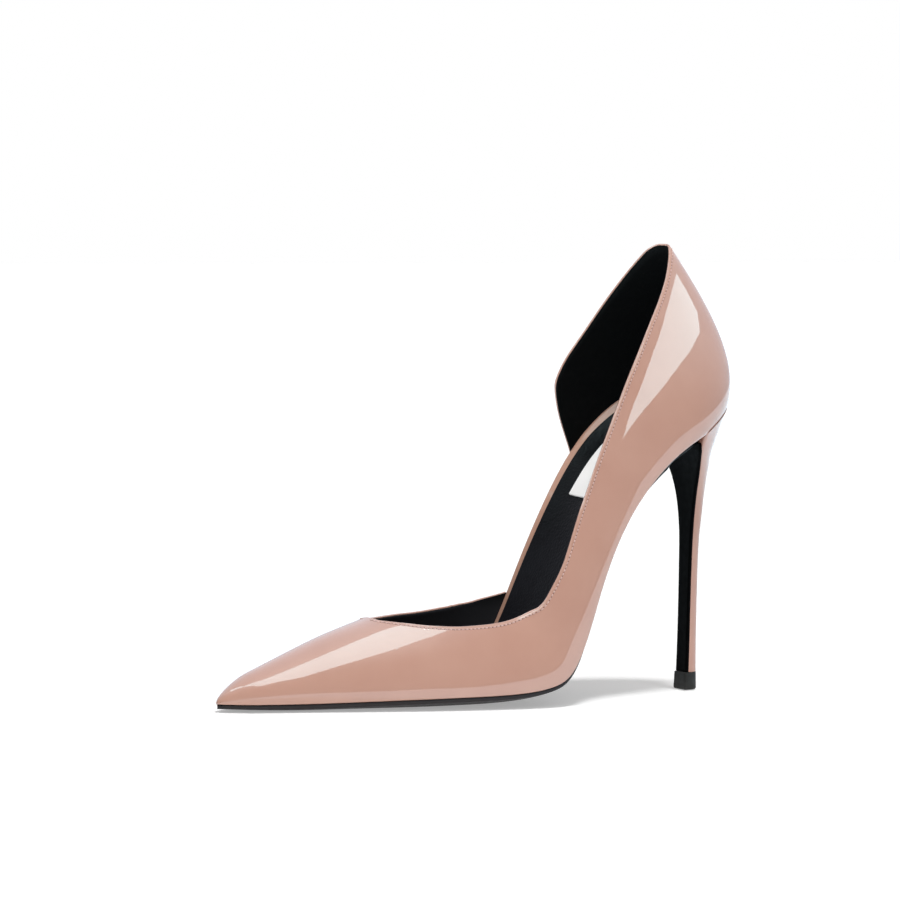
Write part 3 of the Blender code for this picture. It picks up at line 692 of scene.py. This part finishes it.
def breast_cover():
    """Black flap from the outsole down the heel's front, with round upper corners."""
    across = np.sin(np.linspace(-math.pi / 2, math.pi / 2, 21))
    knots = np.arange(len(HEEL_ROWS))
    at = np.linspace(0, len(HEEL_ROWS) - 1, 90)
    sizes = {name: Curve(knots, column)(at) for name, column in zip(HEEL_COLUMNS, zip(*HEEL_ROWS))}
    front = []
    for i in range(len(at)):
        x, z, half = (sizes[name][i] for name in ("front_x", "front_z", "half"))
        front.append(breast_line(x, z, half, breast_hollow(half), across))
    rows = []
    for share in np.linspace(0, 1, 9)[:-1]:
        turn = math.sqrt(1 - (1 - min(share / FLAP_ROUND_SHARE, 1)) ** 2)
        half = (FLAP_TOP_HALF - FLAP_ROUND * (1 - turn)) * across
        edge = bottom_point(SOLE_END - FLAP_STEP, half, -0.1)
        edge[:, 0] = HEEL_ROWS[0][0] - 0.5 + BREAST_HOLLOW * (1 - across ** 2)
        foot = front[0]
        level = edge * (1 - share) + foot * share
        level[:, 1] = half * (1 - share) + foot[:, 1] * share
        rows.append(level)
    front = np.array(rows + front)
    front[..., 0] += 0.2 * np.abs(across) ** 14
    return closed_slab(front, front + [BREAST_COVER, 0, 0])


def top_lift_body():
    foot = dict(zip(HEEL_COLUMNS, HEEL_ROWS[-1]))
    rings = []
    for z, grow in TIP_RINGS:
        sides = (foot["front_x"] - 0.35 - grow, z, foot["back_x"] + 0.2 + grow, z, TIP_HALF_WIDTH + grow)
        rings.append(ring(*sides, 0.0))
    return loft(rings)


# Materials: every colour, gloss and grain comes from nodes in each piece's own coordinates.
def linear(red, green, blue):
    """Colour given in display values, as the shader's linear colour."""
    shares = [value / 255 for value in (red, green, blue)]
    return tuple(s / 12.92 if s <= 0.04045 else ((s + 0.055) / 1.055) ** 2.4 for s in shares) + (1,)


def new_material(name, **sockets):
    """Principled material with constant values set on its shader, given with its tree and shader."""
    material = bpy.data.materials.new(name)
    material.use_nodes = True
    tree = material.node_tree
    shader = tree.nodes["Principled BSDF"]
    for socket, value in sockets.items():
        shader.inputs[socket.replace("_", " ")].default_value = value
    return material, tree, shader


def noise(tree, scale, detail=3.0, stretch=(1, 1, 1)):
    """Noise in the piece's own coordinates, in metres."""
    place = tree.nodes.new("ShaderNodeTexCoord")
    turn = tree.nodes.new("ShaderNodeMapping")
    turn.inputs["Scale"].default_value = stretch
    cloud = tree.nodes.new("ShaderNodeTexNoise")
    cloud.inputs["Scale"].default_value = scale
    cloud.inputs["Detail"].default_value = detail
    tree.links.new(place.outputs["Object"], turn.inputs["Vector"])
    tree.links.new(turn.outputs["Vector"], cloud.inputs["Vector"])
    return cloud.outputs["Fac"]


def pebbles(tree, scale):
    """Cells of leather grain in the piece's own coordinates, in metres."""
    place = tree.nodes.new("ShaderNodeTexCoord")
    cells = tree.nodes.new("ShaderNodeTexVoronoi")
    cells.feature = "SMOOTH_F1"
    cells.inputs["Scale"].default_value = scale
    cells.inputs["Smoothness"].default_value = 0.6
    tree.links.new(place.outputs["Object"], cells.inputs["Vector"])
    return cells.outputs["Distance"]


def ramp(tree, source, low, high, start=0.35, end=0.65):
    """Blend from one colour to another as a pattern rises from start to end."""
    blend = tree.nodes.new("ShaderNodeValToRGB")
    blend.color_ramp.elements[0].position = start
    blend.color_ramp.elements[1].position = end
    blend.color_ramp.elements[0].color = low
    blend.color_ramp.elements[1].color = high
    tree.links.new(source, blend.inputs["Fac"])
    return blend.outputs["Color"]


def bump(tree, shader, source, height, onto=None):
    """Raise the shading by a pattern, height in metres, on top of another bump if given."""
    relief = tree.nodes.new("ShaderNodeBump")
    relief.inputs["Strength"].default_value = 1.0
    relief.inputs["Distance"].default_value = height
    tree.links.new(source, relief.inputs["Height"])
    if onto:
        tree.links.new(onto, relief.inputs["Normal"])
    tree.links.new(relief.outputs["Normal"], shader.inputs["Normal"])
    return relief.outputs["Normal"]


def grey(value):
    return (value, value, value, 1)


def height(tree):
    """Height of a place above the floor, in metres."""
    place = tree.nodes.new("ShaderNodeTexCoord")
    split = tree.nodes.new("ShaderNodeSeparateXYZ")
    tree.links.new(place.outputs["Object"], split.inputs[0])
    return split.outputs["Z"]


def vary_roughness(tree, shader, scale, low, high, detail=3.0):
    """Let the roughness wander between two values."""
    rough = ramp(tree, noise(tree, scale, detail), grey(low), grey(high))
    tree.links.new(rough, shader.inputs["Roughness"])


def patent_leather(name, dark, light, gloss=1.0, rise=None):
    """Leather under a clear glossy coat; with rise the coat is full only above the second height."""
    material, tree, shader = new_material(
        name, Roughness=0.4, Coat_Weight=gloss, Coat_Roughness=0.02, Coat_IOR=1.65, Specular_IOR_Level=0.2)
    colour = ramp(tree, noise(tree, 45), linear(*dark), linear(*light))
    tree.links.new(colour, shader.inputs["Base Color"])
    vary_roughness(tree, shader, 900, 0.34, 0.46, 4)
    if rise:
        coat = ramp(tree, height(tree), grey(gloss), grey(1.0), *rise)
        tree.links.new(coat, shader.inputs["Coat Weight"])
    bump(tree, shader, noise(tree, 1400, 2), 4e-6)
    return material


def thread(name, dark, light):
    material, tree, shader = new_material(name, Roughness=0.55, Specular_IOR_Level=0.35)
    colour = ramp(tree, noise(tree, 2500), linear(*dark), linear(*light))
    tree.links.new(colour, shader.inputs["Base Color"])
    bump(tree, shader, noise(tree, 6000, 2, (3, 1, 1)), 3e-5)
    return material


def grained_leather(name, dark, light, rough, scale, depth, shine=0.5, levels=None):
    """Leather with pebbled grain; with levels its colour goes from light to dark between two heights."""
    material, tree, shader = new_material(name, Roughness=rough, Specular_IOR_Level=shine)
    if levels:
        colour = ramp(tree, height(tree), linear(*light), linear(*dark), *levels)
    else:
        colour = ramp(tree, noise(tree, 60), linear(*dark), linear(*light))
    tree.links.new(colour, shader.inputs["Base Color"])
    vary_roughness(tree, shader, 300, rough - 0.05, rough + 0.05)
    fine = bump(tree, shader, noise(tree, scale * 3, 3), depth / 4)
    bump(tree, shader, pebbles(tree, scale), depth, fine)
    return material


TREAD_FADE = (0.008, 0.030)            # heights, in metres, over which the sole changes colour


def sole_leather(name, dark, light, rough, shine=0.45, raised=None):
    """Smooth dark leather or rubber; with a raised colour it turns to that above the tread."""
    material, tree, shader = new_material(name, Roughness=rough, Specular_IOR_Level=shine)
    if raised:
        colour = ramp(tree, height(tree), linear(*light), linear(*raised), *TREAD_FADE)
    else:
        colour = ramp(tree, noise(tree, 220, 5), linear(*dark), linear(*light))
    tree.links.new(colour, shader.inputs["Base Color"])
    vary_roughness(tree, shader, 500, rough - 0.06, rough + 0.06)
    bump(tree, shader, noise(tree, 3000, 3), 1.2e-5)
    return material


# Finishes, from display colours, some with painted light and shade; heights in metres.
nude = patent_leather("nude_patent", (186, 143, 126), (190, 148, 131))
nude_heel = patent_leather("nude_patent_heel", (184, 141, 125), (188, 146, 130), 0.3, (0.070, 0.095))
# The fold is a little lighter than the wall: a faint painted highlight along each top edge.
nude_fold_highlight = patent_leather("nude_patent_fold_highlight", (190, 148, 131), (196, 155, 139))
# The crease thread is darker than the leather: painted shade where the upper bulges over the heel cover.
nude_crease_painted_shade = thread("nude_crease_painted_shade", (150, 112, 99), (164, 126, 112))
# The needle holes are dark: painted shade in the holes.
needle_hole_painted_shade = thread("needle_hole_painted_shade", (120, 88, 78), (142, 106, 95))
nude_wrap = patent_leather("nude_patent_wrap", (184, 143, 123), (190, 149, 130), 0.25)
stitch_thread = thread("nude_thread", (190, 156, 147), (216, 188, 180))
lining = grained_leather("black_lining", (2, 2, 2), (40, 40, 43), 0.8, 1500, 4e-5, 0.15, (0.030, 0.038))
# The sock is lighter low down as a painted sheen and darker higher up as painted shade.
sock_sheen_and_shade_leather = grained_leather(
    "black_sock_leather", (7, 7, 8), (26, 26, 30), 0.38, 1100, 1.2e-4, 0.15, (0.050, 0.085))
pad_leather = grained_leather("pale_pad_leather", (246, 245, 243), (250, 249, 247), 0.5, 1600, 1.5e-5)
sole_black = sole_leather("black_sole_leather", (34, 31, 32), (44, 41, 42), 0.5, 0.2, (5, 5, 5))
flap_black = sole_leather("black_flap_leather", (2, 2, 2), (5, 5, 5), 0.55, 0.02)
rubber = sole_leather("dark_rubber", (30, 30, 29), (40, 40, 39), 0.6, 0.3)

# Insets of the insole's rim, wider round the heel, and of the outsole, which narrows near its end.
RIM_INSET = WALL + 0.4 + 1.6 * np.clip((DENSE - 0.84) / 0.12, 0, 1)
SOLE_INSET = LAST["bevel"](DENSE) + 4.0 * np.clip((DENSE - 0.845) / 0.02, 0, 1)
TOUCH = 0.02                           # clearance between pieces that lie on one another


def nothing(u):
    return np.zeros_like(u)


def board_top(u):
    return LAST["board"](u)


def sock_low(u):
    return board_top(u) + TOUCH


def sock_high(u):
    return board_top(u) + GAP + SOCK_THICKNESS


def pad_low(u):
    return sock_high(u) + TOUCH


def pad_high(u):
    return sock_high(u) + GAP + PAD_THICKNESS


def sole_low(u):
    return -GAP - LAST["sole"](u)


def sole_high(u):
    return np.full_like(u, -0.05)


shell("upper_leather", nude, 0.0, LEATHER, 0.35, 40, stands_for="upper", slot="nude_patent")
shell("upper_lining", lining, LEATHER + 0.03, LINING, 0.3, 30, slot="black_leather")
folded_edge(nude_fold_highlight)
stitch_rows(stitch_thread)
stitch_holes(needle_hole_painted_shade)
board = cut_piece(RIM_INSET - 0.4, nothing, board_top, 1.0, (0, 1), start=BOARD_START)
new_piece("insole_board", *board, nude_wrap, "insole", "nude_patent")
sock = cut_piece(RIM_INSET + SOCK_INSET, sock_low, sock_high, 0.6, (1.02, 1.06), start=SOCK_START)
new_piece("sock", *sock, sock_sheen_and_shade_leather, "sock_lining", "black_leather")
pad = cut_piece(PAD_INSET, pad_low, pad_high, 0.35, (1.08, 1.12), start=PAD_START)
new_piece("pad", *pad, pad_leather, "heel_pad", "pale_leather")
sole = cut_piece(SOLE_INSET, sole_low, sole_high, 0.3, end=SOLE_END)
new_piece("sole", *sole, sole_black, "outsole", "black_leather")
new_piece("heel_covered", *heel_body(), nude_heel, "heel", "nude_patent")
new_piece("heel_seam", *seam_crease(0.0, 0.22), nude_crease_painted_shade, slot="nude_patent")
new_piece("heel_fold", *seam_crease(0.9, 0.12), nude_crease_painted_shade, slot="nude_patent")
new_piece("breast_flap", *breast_cover(), flap_black, "heel_breast_cover", "black_leather")
new_piece("heel_tip", *top_lift_body(), rubber, "top_lift", "dark_rubber")


# Studio: pale floor, white surroundings to the camera, soft lights and the camera at the photo's angle.
COOL = (0.72, 0.95, 1.0, 1.0)          # tint of the panels that show in the gloss
LILAC = (0.88, 0.90, 1.0, 1.0)         # tint of the surroundings that show in the gloss
PALE_BLUE = (0.76, 0.90, 1.0, 1.0)     # tint of the floor's glow in the gloss
FLOOR_HALF = 4.0                       # half size of the floor, in metres
FLOOR_LEVEL, GLOW_LEVEL = -0.0003, -0.0002
GLOW_HOLE = (0.12, 0.04)               # half sizes of the hole in the glow under the shoe


def floor_material():
    material, tree, shader = new_material(
        "pale_floor", Roughness=0.9, Specular_IOR_Level=0.0, Emission_Color=grey(1.0),
        Emission_Strength=0.34)
    tree.links.new(ramp(tree, noise(tree, 3), grey(0.74), grey(0.76)), shader.inputs["Base Color"])
    return material


def flat_square(half, level, across=None):
    """Corners of a level square, or of a rectangle if its half width is given too."""
    side = across or half
    return [(-half, -side, level), (half, -side, level), (half, side, level), (-half, side, level)]


def make_floor(half, level):
    mesh = bpy.data.meshes.new("floor")
    mesh.from_pydata(flat_square(half, level), [], [(0, 1, 2, 3)])
    mesh.materials.append(floor_material())
    floor = bpy.data.objects.new("floor", mesh)
    bpy.context.collection.objects.link(floor)


def light_panel(name, corners, radiance, tint, faces=None):
    """Glowing panel that shows only as a crisp reflection in glossy surfaces; corners in metres."""
    mesh = bpy.data.meshes.new(name)
    mesh.from_pydata(corners, [], faces or [tuple(range(len(corners)))])
    material = bpy.data.materials.new(name)
    material.use_nodes = True
    tree = material.node_tree
    tree.nodes.clear()
    glow = tree.nodes.new("ShaderNodeEmission")
    glow.inputs["Strength"].default_value = radiance
    glow.inputs["Color"].default_value = tint
    output = tree.nodes.new("ShaderNodeOutputMaterial")
    tree.links.new(glow.outputs[0], output.inputs["Surface"])
    mesh.materials.append(material)
    panel = bpy.data.objects.new(name, mesh)
    bpy.context.collection.objects.link(panel)
    panel.visible_camera = panel.visible_diffuse = panel.visible_shadow = False


def soft_sun(name, strength, spread, azimuth, elevation):
    """Very soft light from far away, for the shading and the floor, left out of the reflections."""
    lamp = bpy.data.lights.new(name, "SUN")
    lamp.energy = strength
    lamp.angle = math.radians(spread)
    piece = bpy.data.objects.new(name, lamp)
    bpy.context.collection.objects.link(piece)
    turn, rise = math.radians(azimuth), math.radians(elevation)
    source = Vector((math.cos(rise) * math.cos(turn), math.cos(rise) * math.sin(turn), math.sin(rise)))
    piece.matrix_world = source.to_track_quat("Z", "Y").to_matrix().to_4x4()
    piece.visible_glossy = False


def surroundings(seen, fill, dark, bright, towards, start, end):
    """World: white to the camera, even fill for shading, dark in front and bright behind in the gloss."""
    world = bpy.data.worlds.new("studio")
    bpy.context.scene.world = world
    world.use_nodes = True
    tree = world.node_tree
    tree.nodes.clear()
    place = tree.nodes.new("ShaderNodeTexCoord")
    along = tree.nodes.new("ShaderNodeVectorMath")
    along.operation = "DOT_PRODUCT"
    along.inputs[1].default_value = Vector(towards).normalized()
    tree.links.new(place.outputs["Generated"], along.inputs[0])
    spread = tree.nodes.new("ShaderNodeMapRange")
    spread.interpolation_type = "SMOOTHSTEP"
    for socket, value in (("From Min", start), ("From Max", end), ("To Min", dark), ("To Max", bright)):
        spread.inputs[socket].default_value = value
    tree.links.new(along.outputs["Value"], spread.inputs["Value"])
    path = tree.nodes.new("ShaderNodeLightPath")
    layers = []
    for strength in (fill, None, seen):
        layer = tree.nodes.new("ShaderNodeBackground")
        if strength is None:
            tree.links.new(spread.outputs["Result"], layer.inputs["Strength"])
        else:
            layer.inputs["Strength"].default_value = strength
        layer.inputs["Color"].default_value = LILAC if strength is None else grey(1.0)
        layers.append(layer.outputs[0])
    mixed = layers[0]
    for ray, layer in (("Is Glossy Ray", layers[1]), ("Is Camera Ray", layers[2])):
        either = tree.nodes.new("ShaderNodeMixShader")
        tree.links.new(path.outputs[ray], either.inputs[0])
        tree.links.new(mixed, either.inputs[1])
        tree.links.new(layer, either.inputs[2])
        mixed = either.outputs[0]
    output = tree.nodes.new("ShaderNodeOutputWorld")
    tree.links.new(mixed, output.inputs["Surface"])


EYE = (-1050.74, -1859.7, 242.79)      # camera and what it looks at, in the last's frame in millimetres
AIM = (99.12, 0.0, 95.06)
ROLL = math.radians(1.08)              # the right side of the camera tilts up
LENS = 232.3


def make_camera():
    camera = bpy.data.cameras.new("camera")
    camera.lens = LENS
    camera.sensor_width = 36.0
    camera.clip_start, camera.clip_end = 0.05, 100.0
    piece = bpy.data.objects.new("camera", camera)
    bpy.context.collection.objects.link(piece)
    eye, aim = Vector(placed(EYE)[0]), Vector(placed(AIM)[0])
    facing = (aim - eye).to_track_quat("-Z", "Y").to_matrix().to_4x4()
    piece.matrix_world = Matrix.Translation(eye) @ facing @ Matrix.Rotation(ROLL, 4, "Z")
    bpy.context.scene.camera = piece


# Edges of the two crisp highlights on the outer side: pairs of a section of the last and a height.
VAMP_UPPER_EDGE = ((0.02, 0.80), (0.04, 0.60), (0.07, 0.56), (0.21, 0.635), (0.295, 0.695))
VAMP_LOWER_EDGE = ((0.40, 0.48), (0.34, 0.475), (0.22, 0.42), (0.13, 0.39), (0.06, 0.44), (0.02, 0.69))
QUARTER_FRONT_EDGE = ((0.985, 0.86), (0.93, 0.655), (0.87, 0.46), (0.81, 0.305))
QUARTER_BACK_EDGE = ((0.89, 0.385), (0.95, 0.49), (0.97, 0.54), (0.98, 0.63), (0.983, 0.75))
VAMP_PANEL_LEVEL = 300.0               # height of the vamp's panel above the floor, in millimetres
QUARTER_PANEL_DISTANCE = 200.0         # way from the wall to the quarter's panel, in millimetres
PAST_TOPLINE = 0.03                    # how far the vamp's panel goes on past the top edge, in metres


def mirrored_edge(places, distance=None, level=None):
    """Where light must stand, in metres, to be mirrored to the camera along places of the outer wall.

    It stands at a distance from the wall or at a level above the floor, in millimetres.
    """
    knots = np.arange(len(places))
    steps = np.linspace(0, knots[-1], 3 * len(places) - 2)
    along, height_share = (np.interp(steps, knots, column) for column in np.array(places).T)
    spot = wall_point(OUTER, along, height_share)
    normal = wall_normal(OUTER, along, height_share)
    view = unit(spot - EYE)
    mirrored = view - 2 * np.sum(view * normal, axis=1, keepdims=True) * normal
    reach = distance if level is None else (level - spot[:, 2:]) / mirrored[:, 2:]
    return placed(spot + reach * mirrored)


make_floor(FLOOR_HALF, FLOOR_LEVEL)
surroundings(1.0, 0.25, 0.06, 1.25, (0.45, 0.35, 0.8), 0.2, 0.9)
soft_sun("overhead", 1.95, 9, -84, 77)
soft_sun("front_fill", 1.12, 70, -120, 28)
upper_edge = mirrored_edge(VAMP_UPPER_EDGE, level=VAMP_PANEL_LEVEL)
lower_edge = mirrored_edge(VAMP_LOWER_EDGE, level=VAMP_PANEL_LEVEL)
past_topline = np.array([upper_edge[-1], lower_edge[0]]) + [PAST_TOPLINE, 0, 0]
light_panel("vamp_panel", [*upper_edge, *past_topline, *lower_edge], 5.2, COOL)
front_edge = mirrored_edge(QUARTER_FRONT_EDGE, distance=QUARTER_PANEL_DISTANCE)
back_edge = mirrored_edge(QUARTER_BACK_EDGE, distance=QUARTER_PANEL_DISTANCE)
light_panel("quarter_panel", [*front_edge, *back_edge], 5.0, COOL)
glow_corners = flat_square(FLOOR_HALF, GLOW_LEVEL) + flat_square(GLOW_HOLE[0], GLOW_LEVEL, GLOW_HOLE[1])
glow_faces = [(0, 1, 5, 4), (1, 2, 6, 5), (2, 3, 7, 6), (3, 0, 4, 7)]
light_panel("floor_glow", glow_corners, 1.6, PALE_BLUE, glow_faces)
make_camera()
bpy.context.scene.view_settings.view_transform = "Standard"
